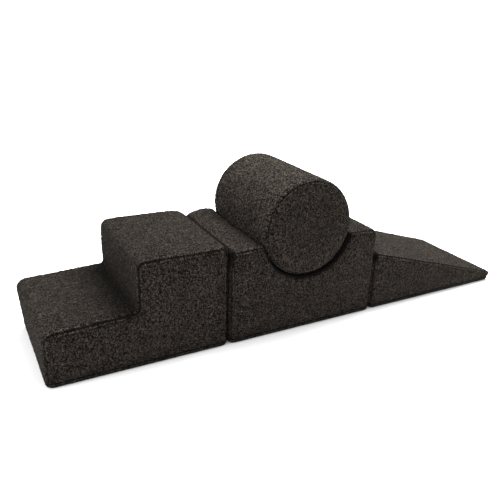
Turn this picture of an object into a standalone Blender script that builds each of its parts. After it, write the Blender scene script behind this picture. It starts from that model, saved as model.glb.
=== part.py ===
"""Soft play foam climber: a pair of steps, a cradle with a loose roller lying in it, and a ramp.

Each block is a wire-cut foam core in a zip-off fleece cover. A cover is one long wrap round the
profile, a front and a back cover sewn to it along a drawn-in seam, and a base tray under them.
Metres, +Z up. X runs along the row, from the steps to the ramp. The origin is the middle of the
cradle's base, on the floor.
"""

import math
from collections import namedtuple

import bmesh
import bpy
from mathutils import Matrix, Vector

# Clearances
SEWN_GAP = 0.0003
ROLLING_GAP = 0.0004
BLOCK_GAP = 0.0004
RUNNING_GAP = 0.0003

# Blocks
BLOCK_DEPTH = 0.356
STEPS_LENGTH = 0.490
HIGH_TREAD_LENGTH = 0.256
LOW_STEP_HEIGHT = 0.152
LOW_TREAD_CLIMB = 0.012
HIGH_STEP_HEIGHT = 0.300
CRADLE_LENGTH = 0.500
CRADLE_HEIGHT = 0.280
RECESS_DEPTH = 0.112
RAMP_LENGTH = 0.555
RAMP_HEIGHT = 0.198
RAMP_SET_BACK = 0.003
TOE_HEIGHT = 0.032

# Roller
ROLLER_RADIUS = 0.145
ROLLER_PAST_CRADLE = 0.001
ROLLER_LENGTH = BLOCK_DEPTH + 2 * ROLLER_PAST_CRADLE
ROLLER_RIM = 0.018
SEAT_PLAY = 0.003

# Cover
COVER = 0.008
BASE_SEAM_HEIGHT = 0.014
SEAM_GROOVE_DEPTH = 0.002
SEAM_GROOVE_WIDTH = 0.006
TREAD_CROWN = 0.004
END_CROWN = 0.003
FACE_CROWN = 0.004
FACE_CROWN_RISE = 0.060
CROWN_STEP = 0.090

# Radii of the profiles' corners, and of the rounding where a profile meets the front and back
FOOT_RADIUS = 0.010
FOOT_RIM = 0.008
NOSE_RADIUS = 0.027
RISER_FOOT_RADIUS = 0.009
HIGH_NOSE_RADIUS = 0.022
STEPS_BACK_RADIUS = 0.022
STEPS_RIM = 0.018
LEFT_SHOULDER_RADIUS = 0.018
RIGHT_SHOULDER_RADIUS = 0.026
SHOULDER_RIM = 0.015
RECESS_LIP_RADIUS = 0.010
RECESS_RIM = 0.008
RAMP_TOP_RADIUS = 0.017
RAMP_RIM = 0.015
TOE_RADIUS = 0.014
TOE_RIM = 0.009

# Zips
TAPE_WIDTH = 0.014
TAPE_THICKNESS = 0.0008
CHAIN_WIDTH = 0.0046
CHAIN_HEIGHT = 0.0020
CHAIN_SHOULDER = 0.0010
STOP_LENGTH = 0.003
STOP_WIDTH = 0.0062
STOP_HEIGHT = 0.0025
ZIP_HEIGHT_ON_BACK = 0.036
STEPS_ZIP_SHORT_BY = 0.090
CRADLE_ZIP_SHORT_BY = 0.100
RAMP_ZIP_SHORT_BY = 0.225
RAMP_ZIP_SHIFT = 0.070
ROLLER_ZIP_SHORT_BY = 0.068
STEPS_ZIP_LENGTH = STEPS_LENGTH - STEPS_ZIP_SHORT_BY
CRADLE_ZIP_LENGTH = CRADLE_LENGTH - CRADLE_ZIP_SHORT_BY
RAMP_ZIP_LENGTH = RAMP_LENGTH - RAMP_ZIP_SHORT_BY
ROLLER_ZIP_LENGTH = ROLLER_LENGTH - ROLLER_ZIP_SHORT_BY
ROLLER_ZIP_ANGLE = math.radians(30)
SLIDER_LENGTH = 0.011
SLIDER_WIDTH = 0.0094
SLIDER_NOSE_WIDTH = 0.0070
SLIDER_ROOF = 0.0009
EAR_THICKNESS = 0.0010
EAR_LENGTH = 0.0034
PIN_RADIUS = 0.0005
EYE_RADIUS = 0.0013
EYE_WIDTH = 0.0026
NECK_WIDTH = 0.0022
TAB_THICKNESS = 0.0012
TAB_LENGTH = 0.022
TAB_WIDTH = 0.0070
TAB_HOLE_LENGTH = 0.0080
TAB_HOLE_WIDTH = 0.0030

OVERRUN = 0.010
POLE_MERGE = 0.00001

# Counts
CORNER_SEGMENTS = 4
RECESS_SEGMENTS = 23
ROLLER_SIDES = 48
ROUND_SIDES = 16

# Stations of the drawn-in rim, as shares of the cover's thickness, measured from the face
RIM_STATION_SHARES = (0, 0.18)
MIDDLE_STATION_SHARES = (-0.5, 0, 0.5)

# Rings of a disc's crown, as shares of its flat radius
CROWN_RING_SHARES = (0, 0.4, 0.75)

# Colours, in linear light, with roughness and metallic values
FINISHES = {
    "fleece": ((0.048, 0.041, 0.034), 0.95, 0.0),
    "base_cloth": ((0.030, 0.027, 0.024), 0.9, 0.0),
    "foam": ((0.62, 0.59, 0.50), 0.9, 0.0),
    "zip_tape": ((0.016, 0.015, 0.014), 0.8, 0.0),
    "zip_metal": ((0.10, 0.095, 0.09), 0.35, 1.0),
}

Corner = namedtuple("Corner", "x z radius rim crown")
Spot = namedtuple("Spot", "x z rim crown groove")


def clear_scene():
    for obj in list(bpy.data.objects):
        bpy.data.objects.remove(obj, do_unlink=True)


def new_collection(name):
    collection = bpy.data.collections.new(name)
    bpy.context.scene.collection.children.link(collection)
    return collection


clear_scene()
PARTS = new_collection("soft_play_climber")
CUTTERS = new_collection("cutters")


def finish_of(name, kind):
    """A material of its own for each piece, in one of the part's finishes."""
    colour, roughness, metallic = FINISHES[kind]
    material = bpy.data.materials.new(name)
    material.use_nodes = True
    shader = material.node_tree.nodes["Principled BSDF"]
    shader.inputs["Base Color"].default_value = (*colour, 1)
    shader.inputs["Roughness"].default_value = roughness
    shader.inputs["Metallic"].default_value = metallic
    return material


def mesh_of(name, bm):
    """The finished mesh, with smooth shading up to its sharp edges."""
    bmesh.ops.recalc_face_normals(bm, faces=bm.faces)
    if bm.calc_volume(signed=True) < 0:
        bmesh.ops.reverse_faces(bm, faces=bm.faces)
    mesh = bpy.data.meshes.new(name)
    bm.to_mesh(mesh)
    bm.free()
    mesh.shade_smooth()
    mesh.set_sharp_from_angle(angle=math.radians(40))
    return mesh


def new_piece(name, mesh, parent, kind):
    piece = bpy.data.objects.new(name, mesh)
    PARTS.objects.link(piece)
    piece.parent = parent
    piece.data.materials.clear()
    piece.data.materials.append(finish_of(name, kind))
    return piece


def new_cutter(name, mesh, parent):
    cutter = bpy.data.objects.new(name, mesh)
    CUTTERS.objects.link(cutter)
    cutter.parent = parent
    cutter.hide_render = True
    cutter.display_type = "WIRE"
    return cutter


def new_place(name, origin, parent=None, along=(1, 0, 0), outward=(0, 0, 1)):
    """An empty that carries pieces: its X runs along, and its Z points outward."""
    place = bpy.data.objects.new(name, None)
    PARTS.objects.link(place)
    place.parent = parent
    x, z = Vector(along), Vector(outward)
    turn = Matrix((x, z.cross(x), z)).transposed()
    place.matrix_local = Matrix.Translation(origin) @ turn.to_4x4()
    return place


def combine(piece, other, operation):
    change = piece.modifiers.new(operation.lower(), "BOOLEAN")
    change.operation = operation
    change.object = other


def box(low, high):
    bm = bmesh.new()
    bmesh.ops.create_cube(bm, size=1)
    sides = [b - a for a, b in zip(low, high)]
    middle = [(a + b) / 2 for a, b in zip(low, high)]
    bmesh.ops.scale(bm, vec=sides, verts=bm.verts)
    bmesh.ops.translate(bm, vec=middle, verts=bm.verts)
    return mesh_of("box", bm)


def prism(outline, half_length, axis="Y"):
    """A flat outline extruded both ways along an axis. It lies across the other two axes."""
    spread = {
        "X": lambda a, b, c: (c, a, b),
        "Y": lambda a, b, c: (a, c, b),
        "Z": lambda a, b, c: (a, b, c),
    }[axis]
    bm = bmesh.new()
    face = bm.faces.new([bm.verts.new(spread(a, b, -half_length)) for a, b in outline])
    made = bmesh.ops.extrude_face_region(bm, geom=[face])
    moved = [item for item in made["geom"] if isinstance(item, bmesh.types.BMVert)]
    bmesh.ops.translate(bm, vec=spread(0, 0, 2 * half_length), verts=moved)
    return mesh_of("prism", bm)


def rod(radius, half_length, axis):
    """A round bar whose middle is at the origin."""
    turn = Matrix.Rotation(math.radians(90), 3, {"X": "Y", "Y": "X"}[axis])
    bm = bmesh.new()
    bmesh.ops.create_cone(
        bm,
        cap_ends=True,
        segments=ROUND_SIDES,
        radius1=radius,
        radius2=radius,
        depth=2 * half_length,
    )
    bmesh.ops.rotate(bm, cent=(0, 0, 0), matrix=turn, verts=bm.verts)
    return mesh_of("rod", bm)


# Outlines


def corner_arc(before, corner, after):
    """The points that round one corner of an outline, or the corner itself where it has no radius."""
    tip = Vector((corner.x, corner.z))
    if not corner.radius:
        return [tip]
    back = (Vector((before.x, before.z)) - tip).normalized()
    ahead = (Vector((after.x, after.z)) - tip).normalized()
    half = back.angle(ahead) / 2
    centre = tip + (back + ahead).normalized() * corner.radius / math.sin(half)
    start = tip + back * corner.radius / math.tan(half) - centre
    sweep = (math.pi - 2 * half) * math.copysign(1, ahead.cross(back))
    points = []
    for step in range(CORNER_SEGMENTS + 1):
        turn = Matrix.Rotation(sweep * step / CORNER_SEGMENTS, 2)
        points.append(centre + turn @ start)
    return points


def seam_levels():
    half = SEAM_GROOVE_WIDTH / 2
    return (BASE_SEAM_HEIGHT - half, 0), (BASE_SEAM_HEIGHT, SEAM_GROOVE_DEPTH), (BASE_SEAM_HEIGHT + half, 0)


def run_spots(start, end, corner, after):
    """Spots along a straight run: where it crosses the base seam, and often enough for its crown."""
    pieces = max(1, round((end - start).length / CROWN_STEP)) if corner.crown else 1
    shares = [(piece / pieces, 0) for piece in range(1, pieces)]
    lowest, highest = sorted((start.y, end.y))
    if lowest < BASE_SEAM_HEIGHT < highest:
        shares += [((z - start.y) / (end.y - start.y), groove) for z, groove in seam_levels()]
    spots = []
    for share, groove in sorted(shares):
        place = start.lerp(end, share)
        rim = corner.rim + (after.rim - corner.rim) * share
        crown = 4 * share * (1 - share) * corner.crown
        spots.append(Spot(place.x, place.y, rim, crown, groove))
    return spots


def outline_spots(corners, with_runs):
    """Spots round a closed outline that goes up its left end, over its top and back along the floor."""
    count = len(corners)
    arcs = [corner_arc(corners[i - 1], corners[i], corners[(i + 1) % count]) for i in range(count)]
    spots = []
    for i, corner in enumerate(corners):
        spots += [Spot(place.x, place.y, corner.rim, 0, 0) for place in arcs[i]]
        if with_runs:
            after = (i + 1) % count
            spots += run_spots(arcs[i][-1], arcs[after][0], corner, corners[after])
    return spots


def outward_ways(spots):
    """For each spot, how far it moves when the outline's runs all move outward by one."""
    ways = []
    for i, spot in enumerate(spots):
        before, after = spots[i - 1], spots[(i + 1) % len(spots)]
        come = Vector((spot.x - before.x, spot.z - before.z)).normalized()
        leave = Vector((after.x - spot.x, after.z - spot.z)).normalized()
        middle = (come + leave).normalized()
        ways.append(Vector((-middle.y, middle.x)) / middle.dot(come))
    return ways


def moved_out(spots, amounts):
    return [
        (spot.x + way.x * amount, spot.z + way.y * amount)
        for spot, way, amount in zip(spots, outward_ways(spots), amounts)
    ]


# The stuffed form of a cover


def drawn_in(rim, from_face):
    """How far the rounding of this radius has drawn in, this far behind the face."""
    if from_face >= rim:
        return 0
    return rim - math.sqrt(rim**2 - (rim - from_face) ** 2)


def seam_from_face():
    """The seam's distance behind the face: the middle of the gap between the sewn covers."""
    return COVER + SEWN_GAP / 2


def rim_stations(widest_rim):
    """Distances behind the face of the sections that shape the rim and its seam."""
    half, seam = SEAM_GROOVE_WIDTH / 2, seam_from_face()
    return [COVER * share for share in RIM_STATION_SHARES] + [seam - half, seam, seam + half, widest_rim]


def sections_of(spots, depth):
    """The form's sections from front to back, as (y, outline points)."""
    widest_rim = max(spot.rim for spot in spots)
    sections = []
    for from_face in rim_stations(widest_rim):
        groove = SEAM_GROOVE_DEPTH if from_face == seam_from_face() else 0
        amounts = [-drawn_in(spot.rim, from_face) - max(groove, spot.groove) for spot in spots]
        sections.append((from_face - depth / 2, moved_out(spots, amounts)))
    for share in MIDDLE_STATION_SHARES:
        rise = 1 - share**2
        amounts = [spot.crown * rise - spot.groove for spot in spots]
        sections.append(((depth / 2 - widest_rim) * share, moved_out(spots, amounts)))
    front = sections[: -len(MIDDLE_STATION_SHARES)]
    return sections + [(-y, points) for y, points in reversed(front)]


def loft(bm, sections):
    """Skins the sections and closes both ends. Returns the two end faces."""
    rows = [[bm.verts.new((x, y, z)) for x, z in points] for y, points in sections]
    for row, following in zip(rows, rows[1:]):
        for i in range(len(row)):
            bm.faces.new((row[i - 1], row[i], following[i], following[i - 1]))
    return [bm.faces.new(rows[0]), bm.faces.new(reversed(rows[-1]))]


def edge_distance(x, z, outline):
    """How far inside its outline a point of a face lies."""
    place = Vector((x, z))
    nearest = math.inf
    for start, end in zip(outline, outline[1:] + outline[:1]):
        start, run = Vector(start), Vector(end) - Vector(start)
        share = min(1, max(0, (place - start).dot(run) / run.length_squared))
        nearest = min(nearest, (start + run * share - place).length)
    return nearest


def face_planes(outline):
    """The planes that divide a face, so that it can take its crown and the base seam."""
    planes = [((0, 0, z), (0, 0, 1)) for z, _ in seam_levels()]
    for axis, normal in ((0, (1, 0, 0)), (1, (0, 0, 1))):
        low = min(point[axis] for point in outline)
        high = max(point[axis] for point in outline)
        pieces = round((high - low) / CROWN_STEP)
        for piece in range(1, pieces):
            place = low + (high - low) * piece / pieces
            planes.append(([place * part for part in normal], normal))
    return planes


def crown_face(bm, face, outline):
    """Divides one end face, swells it towards its middle and draws in its base seam."""
    outward = math.copysign(1, face.calc_center_median().y)
    level = face.verts[0].co.y
    for place, normal in face_planes(outline):
        geometry = [f for f in bm.faces if all(abs(v.co.y - level) < SEWN_GAP for v in f.verts)]
        edges = {edge for f in geometry for edge in f.edges}
        verts = {vert for f in geometry for vert in f.verts}
        bmesh.ops.bisect_plane(
            bm, geom=[*geometry, *edges, *verts], dist=SEWN_GAP, plane_co=place, plane_no=normal
        )
    for vert in [v for v in bm.verts if abs(v.co.y - level) < SEWN_GAP]:
        inside = min(1, edge_distance(vert.co.x, vert.co.z, outline) / FACE_CROWN_RISE)
        swell = FACE_CROWN * (1 - (1 - inside) ** 2)
        if abs(vert.co.z - BASE_SEAM_HEIGHT) < SEWN_GAP:
            swell -= SEAM_GROOVE_DEPTH
        vert.co.y += outward * swell


def stuffed_form(spots, depth):
    bm = bmesh.new()
    sections = sections_of(spots, depth)
    ends = loft(bm, sections)
    for face, section in zip(ends, (sections[0], sections[-1])):
        crown_face(bm, face, section[1])
    bmesh.ops.triangulate(bm, faces=bm.faces)
    return mesh_of("stuffed_form", bm)


# Zips


def zip_stack():
    """Heights above the tape's underside: tape, chain, slider's roof, pin and eye."""
    tape = TAPE_THICKNESS
    chain = tape + CHAIN_HEIGHT
    roof = chain + RUNNING_GAP + SLIDER_ROOF
    pin = roof + RUNNING_GAP + EYE_RADIUS
    return tape, chain, roof, pin


def chain_half_length(length):
    """Half the chain, which leaves the tab room to lie flat past either end."""
    return length / 2 - TAB_LENGTH - SLIDER_LENGTH / 2


def slider_reach(length):
    """How far from the middle of the zip the slider can go, each way."""
    return chain_half_length(length) - STOP_LENGTH - SLIDER_LENGTH / 2 - RUNNING_GAP


def make_zip(name, length, place):
    """Tape and chain: one section along the zip, with a stop across each end of the chain."""
    tape, chain, _, _ = zip_stack()
    half_tape, half_chain = TAPE_WIDTH / 2, CHAIN_WIDTH / 2
    strip = new_piece(
        name,
        prism(
            [(-half_tape, 0), (half_tape, 0), (half_tape, tape), (-half_tape, tape)],
            length / 2,
            "X",
        ),
        place,
        "zip_tape",
    )
    shoulder = chain - CHAIN_SHOULDER
    crest = half_chain - CHAIN_SHOULDER
    ridge = [
        (-half_chain, tape / 2),
        (half_chain, tape / 2),
        (half_chain, shoulder),
        (crest, chain),
        (-crest, chain),
        (-half_chain, shoulder),
    ]
    half_length = chain_half_length(length)
    combine(strip, new_cutter(name + "_ridge", prism(ridge, half_length, "X"), place), "UNION")
    for side in (-1, 1):
        ends = sorted((side * half_length, side * (half_length - STOP_LENGTH)))
        stop = box((ends[0], -STOP_WIDTH / 2, tape / 2), (ends[1], STOP_WIDTH / 2, tape + STOP_HEIGHT))
        combine(strip, new_cutter(name + "_stop", stop, place), "UNION")
    return strip


def slider_plan():
    """The slider seen from above: it narrows from its mouth to its nose."""
    back, front = -SLIDER_LENGTH / 2, SLIDER_LENGTH / 2
    wide, narrow, corner = SLIDER_WIDTH / 2, SLIDER_NOSE_WIDTH / 2, SLIDER_ROOF
    return [
        (back, -narrow),
        (back, narrow),
        (back / 4, wide),
        (front - corner, wide),
        (front, wide - corner),
        (front, corner - wide),
        (front - corner, -wide),
        (back / 4, -wide),
    ]


def make_slider(name, place):
    """Runs over the chain, with two ears that hold the pin of its tab."""
    tape, chain, roof, pin = zip_stack()
    wide = SLIDER_WIDTH / 2
    channel = CHAIN_WIDTH / 2 + RUNNING_GAP
    low, ceiling = tape + RUNNING_GAP, chain + RUNNING_GAP
    saddle = [
        (-wide, low),
        (-channel, low),
        (-channel, ceiling),
        (channel, ceiling),
        (channel, low),
        (wide, low),
        (wide, roof),
        (-wide, roof),
    ]
    slider = new_piece(name, prism(saddle, SLIDER_LENGTH / 2 + OVERRUN, "X"), place, "zip_metal")
    plan = new_cutter(name + "_plan", prism(slider_plan(), OVERRUN, "Z"), place)
    combine(slider, plan, "INTERSECT")
    half_ear = EAR_LENGTH / 2
    crest = pin + EYE_RADIUS
    ear = [
        (-half_ear, roof - SLIDER_ROOF / 2),
        (half_ear, roof - SLIDER_ROOF / 2),
        (half_ear, pin),
        (half_ear / 2, crest),
        (-half_ear / 2, crest),
        (-half_ear, pin),
    ]
    inner = EYE_WIDTH / 2 + RUNNING_GAP
    for side in (-1, 1):
        plate = new_cutter(name + "_ear", prism(ear, EAR_THICKNESS / 2), place)
        plate.location.y = side * (inner + EAR_THICKNESS / 2)
        combine(slider, plate, "UNION")
    bar = new_cutter(name + "_pin", rod(PIN_RADIUS, inner + EAR_THICKNESS / 2, "Y"), place)
    bar.location.z = pin
    combine(slider, bar, "UNION")
    return slider


def make_pull(name, place):
    """The tab, lying back along the chain. Its origin is on the slider's pin."""
    eye, slim, wide = EYE_WIDTH / 2, NECK_WIDTH / 2, TAB_WIDTH / 2
    neck = -EYE_RADIUS - wide
    tip = -TAB_LENGTH
    outline = [
        (0, -slim),
        (neck + slim, -slim),
        (neck, -wide),
        (tip + wide / 2, -wide),
        (tip, -wide / 2),
        (tip, wide / 2),
        (tip + wide / 2, wide),
        (neck, wide),
        (neck + slim, slim),
        (0, slim),
    ]
    pull = new_piece(name, prism(outline, TAB_THICKNESS / 2, "Z"), place, "zip_metal")
    combine(pull, new_cutter(name + "_eye", rod(EYE_RADIUS, eye, "Y"), place), "UNION")
    bore = rod(PIN_RADIUS + RUNNING_GAP, eye + OVERRUN, "Y")
    combine(pull, new_cutter(name + "_bore", bore, place), "DIFFERENCE")
    middle = tip + wide + TAB_HOLE_LENGTH / 2
    low = (middle - TAB_HOLE_LENGTH / 2, -TAB_HOLE_WIDTH / 2, -TAB_THICKNESS)
    high = (middle + TAB_HOLE_LENGTH / 2, TAB_HOLE_WIDTH / 2, TAB_THICKNESS)
    combine(pull, new_cutter(name + "_grip", box(low, high), place), "DIFFERENCE")
    return pull


def fit_zip(block, cover, length, place):
    """Cuts the zip's slot in a cover, and sets the tape, slider and pull in it."""
    half = (length / 2 + SEWN_GAP, TAPE_WIDTH / 2 + SEWN_GAP)
    slot = box((-half[0], -half[1], -OVERRUN), (half[0], half[1], COVER + OVERRUN))
    combine(cover, new_cutter(block + "_zip_slot", slot, place), "DIFFERENCE")
    make_zip(block + "_zip", length, place)
    reach = slider_reach(length)
    runner = new_place(block + "_zip_closed", (reach, 0, 0), place)
    make_slider(block + "_zip_slider", runner)
    hinge = new_place(block + "_zip_pin", (0, 0, zip_stack()[3]), runner)
    make_pull(block + "_zip_pull", hinge)


# Blocks


def make_block(block, corners, place, zip_length, zip_middle):
    """A foam core and its cover: wrap, front, back and base, with a zip low in the back."""
    fine = outline_spots(corners, with_runs=True)
    plain = outline_spots(corners, with_runs=False)
    form = stuffed_form(fine, BLOCK_DEPTH)
    half_depth = BLOCK_DEPTH / 2
    core_outline = moved_out(plain, [-COVER - SEWN_GAP] * len(plain))
    core = prism(core_outline, half_depth - COVER - SEWN_GAP)
    new_piece(block + "_foam_core", core, place, "foam")
    hollow_outline = moved_out(plain, [-COVER] * len(plain))
    hollow = new_cutter(block + "_hollow", prism(hollow_outline, half_depth - COVER), place)

    reach_x = max(abs(spot.x) for spot in fine) + OVERRUN
    reach_y = half_depth + FACE_CROWN + OVERRUN
    top = max(spot.z for spot in fine) + TREAD_CROWN + OVERRUN
    below, above = BASE_SEAM_HEIGHT - SEWN_GAP / 2, BASE_SEAM_HEIGHT + SEWN_GAP / 2
    face = half_depth - COVER
    regions = {
        "front_cover": ((-reach_x, -reach_y, above), (reach_x, -face, top)),
        "back_cover": ((-reach_x, face, above), (reach_x, reach_y, top)),
        "wrap_cover": ((-reach_x, SEWN_GAP - face, above), (reach_x, face - SEWN_GAP, top)),
        "base_cover": ((-reach_x, -reach_y, -OVERRUN), (reach_x, reach_y, below)),
    }
    covers = {}
    for part, (low, high) in regions.items():
        kind = "base_cloth" if part == "base_cover" else "fleece"
        cover = new_piece(f"{block}_{part}", form.copy(), place, kind)
        if part in ("wrap_cover", "base_cover"):
            combine(cover, hollow, "DIFFERENCE")
        combine(cover, new_cutter(f"{block}_{part}_region", box(low, high), place), "INTERSECT")
        covers[part] = cover

    zip_place = new_place(
        block + "_zip_place", (zip_middle, face, ZIP_HEIGHT_ON_BACK), place, outward=(0, 1, 0)
    )
    fit_zip(block, covers["back_cover"], zip_length, zip_place)


def steps_corners():
    left, right = -STEPS_LENGTH / 2, STEPS_LENGTH / 2
    riser = right - HIGH_TREAD_LENGTH
    riser_foot = LOW_STEP_HEIGHT + LOW_TREAD_CLIMB
    return [
        Corner(left, 0, FOOT_RADIUS, FOOT_RIM, END_CROWN),
        Corner(left, LOW_STEP_HEIGHT, NOSE_RADIUS, STEPS_RIM, TREAD_CROWN),
        Corner(riser, riser_foot, RISER_FOOT_RADIUS, STEPS_RIM, END_CROWN),
        Corner(riser, HIGH_STEP_HEIGHT, HIGH_NOSE_RADIUS, STEPS_RIM, TREAD_CROWN),
        Corner(right, HIGH_STEP_HEIGHT, STEPS_BACK_RADIUS, STEPS_RIM, 0),
        Corner(right, 0, FOOT_RADIUS, FOOT_RIM, 0),
    ]


def recess_radius():
    return ROLLER_RADIUS + SEAT_PLAY


def recess_centre_height():
    return CRADLE_HEIGHT - RECESS_DEPTH + recess_radius()


def recess_half_angle():
    """From straight down to where the recess meets the shoulder."""
    return math.acos((recess_centre_height() - CRADLE_HEIGHT) / recess_radius())


def seat_height():
    """The flat run at the bottom of the recess, which the roller lies over."""
    return recess_centre_height() - recess_radius() * math.cos(recess_half_angle() / RECESS_SEGMENTS)


def roller_axis_height():
    return seat_height() + ROLLING_GAP + ROLLER_RADIUS


def cradle_corners():
    left, right = -CRADLE_LENGTH / 2, CRADLE_LENGTH / 2
    half_angle = recess_half_angle()
    recess = []
    for step in range(RECESS_SEGMENTS + 1):
        angle = half_angle * (2 * step / RECESS_SEGMENTS - 1)
        at_lip = step in (0, RECESS_SEGMENTS)
        x = recess_radius() * math.sin(angle)
        z = recess_centre_height() - recess_radius() * math.cos(angle)
        crown = TREAD_CROWN if step == RECESS_SEGMENTS else 0
        recess.append(Corner(x, z, RECESS_LIP_RADIUS if at_lip else 0, RECESS_RIM, crown))
    return [
        Corner(left, 0, FOOT_RADIUS, FOOT_RIM, 0),
        Corner(left, CRADLE_HEIGHT, LEFT_SHOULDER_RADIUS, SHOULDER_RIM, TREAD_CROWN),
        *recess,
        Corner(right, CRADLE_HEIGHT, RIGHT_SHOULDER_RADIUS, SHOULDER_RIM, 0),
        Corner(right, 0, FOOT_RADIUS, FOOT_RIM, 0),
    ]


def ramp_corners():
    left, right = -RAMP_LENGTH / 2, RAMP_LENGTH / 2
    return [
        Corner(left, 0, FOOT_RADIUS, FOOT_RIM, 0),
        Corner(left, RAMP_HEIGHT, RAMP_TOP_RADIUS, RAMP_RIM, TREAD_CROWN),
        Corner(right, TOE_HEIGHT, TOE_RADIUS, TOE_RIM, 0),
        Corner(right, 0, FOOT_RADIUS, FOOT_RIM, 0),
    ]


# Roller


def turned(name, profile, parent, kind):
    """A ring or a disc about the roller's axis, from points of (distance along it, radius)."""
    bm = bmesh.new()
    verts = [bm.verts.new((radius, 0, along)) for along, radius in profile]
    for i in range(len(verts)):
        if profile[i - 1][1] or profile[i][1]:
            bm.edges.new((verts[i - 1], verts[i]))
    mesh = bpy.data.meshes.new(name)
    bm.to_mesh(mesh)
    bm.free()
    piece = new_piece(name, mesh, parent, kind)
    spin = piece.modifiers.new("spin", "SCREW")
    spin.steps = spin.render_steps = ROLLER_SIDES
    spin.use_merge_vertices = True
    spin.merge_threshold = POLE_MERGE
    spin.use_smooth_shade = True
    return piece


def rim_profile(sign):
    """The roller's rounded rim from its face to the end of the rounding, with the seam drawn in."""
    half_length = ROLLER_LENGTH / 2
    points = []
    for from_face in rim_stations(ROLLER_RIM):
        groove = SEAM_GROOVE_DEPTH if from_face == seam_from_face() else 0
        radius = ROLLER_RADIUS - drawn_in(ROLLER_RIM, from_face) - groove
        points.append((sign * (half_length - from_face), radius))
    return points


def seam_radius():
    """The roller's radius down in its seam."""
    return ROLLER_RADIUS - drawn_in(ROLLER_RIM, seam_from_face()) - SEAM_GROOVE_DEPTH


def disc_profile(sign):
    """A crowned end disc: from its centre over the rim to the seam, always turned the same way round."""
    half_length = ROLLER_LENGTH / 2
    face_radius = ROLLER_RADIUS - ROLLER_RIM
    crown = []
    for share in CROWN_RING_SHARES:
        swell = FACE_CROWN * (1 - share**2)
        crown.append((sign * (half_length + swell), face_radius * share))
    inner = sign * (half_length - COVER)
    rim = [point for point in rim_profile(sign) if abs(point[0]) > abs(inner)]
    profile = crown + rim + [(inner, seam_radius()), (inner, 0)]
    return profile if sign > 0 else profile[::-1]


def wrap_profile():
    """The roller's wrap: its outer side from seam to seam, and back inside."""
    inner_radius = ROLLER_RADIUS - COVER
    edge = ROLLER_LENGTH / 2 - COVER - SEWN_GAP
    outer = [point for point in rim_profile(1) if point[0] < edge]
    right = [(edge, inner_radius), (edge, seam_radius())] + outer
    return right + [(-along, radius) for along, radius in reversed(right)]


def make_roller(place):
    """Lies along the row's depth, so its pieces are turned about the place's own Z."""
    core_radius = ROLLER_RADIUS - COVER - SEWN_GAP
    core_end = ROLLER_LENGTH / 2 - COVER - SEWN_GAP
    core = [(core_end, 0), (core_end, core_radius), (-core_end, core_radius), (-core_end, 0)]
    turned("roller_foam_core", core, place, "foam")
    turned("roller_front_disc", disc_profile(1), place, "fleece")
    turned("roller_back_disc", disc_profile(-1), place, "fleece")
    wrap = turned("roller_wrap_cover", wrap_profile(), place, "fleece")
    out = Vector((math.cos(ROLLER_ZIP_ANGLE), math.sin(ROLLER_ZIP_ANGLE), 0))
    zip_place = new_place(
        "roller_zip_place", out * (ROLLER_RADIUS - COVER), place, along=(0, 0, -1), outward=out
    )
    fit_zip("roller", wrap, ROLLER_ZIP_LENGTH, zip_place)


def main():
    steps_middle = -(CRADLE_LENGTH / 2 + BLOCK_GAP + STEPS_LENGTH / 2)
    ramp_middle = CRADLE_LENGTH / 2 + BLOCK_GAP + RAMP_LENGTH / 2
    steps_place = new_place("steps", (steps_middle, 0, 0))
    cradle_place = new_place("cradle", (0, 0, 0))
    ramp_place = new_place("ramp", (ramp_middle, RAMP_SET_BACK, 0))
    roller_place = new_place("roller", (0, 0, roller_axis_height()), outward=(0, -1, 0))
    make_block("steps", steps_corners(), steps_place, STEPS_ZIP_LENGTH, 0)
    make_block("cradle", cradle_corners(), cradle_place, CRADLE_ZIP_LENGTH, 0)
    make_block("ramp", ramp_corners(), ramp_place, RAMP_ZIP_LENGTH, -RAMP_ZIP_SHIFT)
    make_roller(roller_place)


main()
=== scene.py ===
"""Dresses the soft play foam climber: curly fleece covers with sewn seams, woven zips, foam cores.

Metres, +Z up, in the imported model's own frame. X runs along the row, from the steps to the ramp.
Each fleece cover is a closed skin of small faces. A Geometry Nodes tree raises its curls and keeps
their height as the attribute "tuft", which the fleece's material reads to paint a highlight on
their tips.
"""

import math
from collections import namedtuple

import bmesh
import bpy
from mathutils import Matrix, Vector, geometry, kdtree, noise


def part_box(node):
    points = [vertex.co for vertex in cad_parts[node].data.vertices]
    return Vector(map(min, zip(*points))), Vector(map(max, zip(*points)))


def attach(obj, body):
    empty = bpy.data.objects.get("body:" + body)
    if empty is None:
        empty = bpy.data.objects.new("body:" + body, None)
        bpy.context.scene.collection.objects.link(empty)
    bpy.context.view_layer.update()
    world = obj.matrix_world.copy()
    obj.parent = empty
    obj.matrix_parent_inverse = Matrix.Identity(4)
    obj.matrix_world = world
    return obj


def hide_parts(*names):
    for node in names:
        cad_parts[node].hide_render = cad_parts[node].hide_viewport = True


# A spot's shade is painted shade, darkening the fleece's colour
Spot = namedtuple("Spot", "x z out_x out_z rim crown room shade", defaults=(0.0,))
Pile = namedtuple("Pile", "tree material")
Drift = namedtuple("Drift", "mean spread length seed")

# How the covers are made, as in the part
COVER = 0.008
SEWN_GAP = 0.0003
BASE_SEAM = 0.014
CROWN = 0.004
END_CROWN = 0.003
CROWN_RISE = 0.060

# Steps
HIGH_TREAD_LENGTH = 0.256
LOW_STEP_HEIGHT = 0.152
LOW_TREAD_CLIMB = 0.012
NOSE_RADIUS = 0.027
RISER_FOOT_RADIUS = 0.009
HIGH_NOSE_RADIUS = 0.022
STEPS_BACK_RADIUS = 0.022
STEPS_RIM = 0.018

# Cradle
RECESS_DEPTH = 0.112
SEAT_PLAY = 0.003
LEFT_SHOULDER_RADIUS = 0.018
RIGHT_SHOULDER_RADIUS = 0.026
SHOULDER_RIM = 0.015
LIP_RADIUS = 0.010
RECESS_RIM = 0.008

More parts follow.
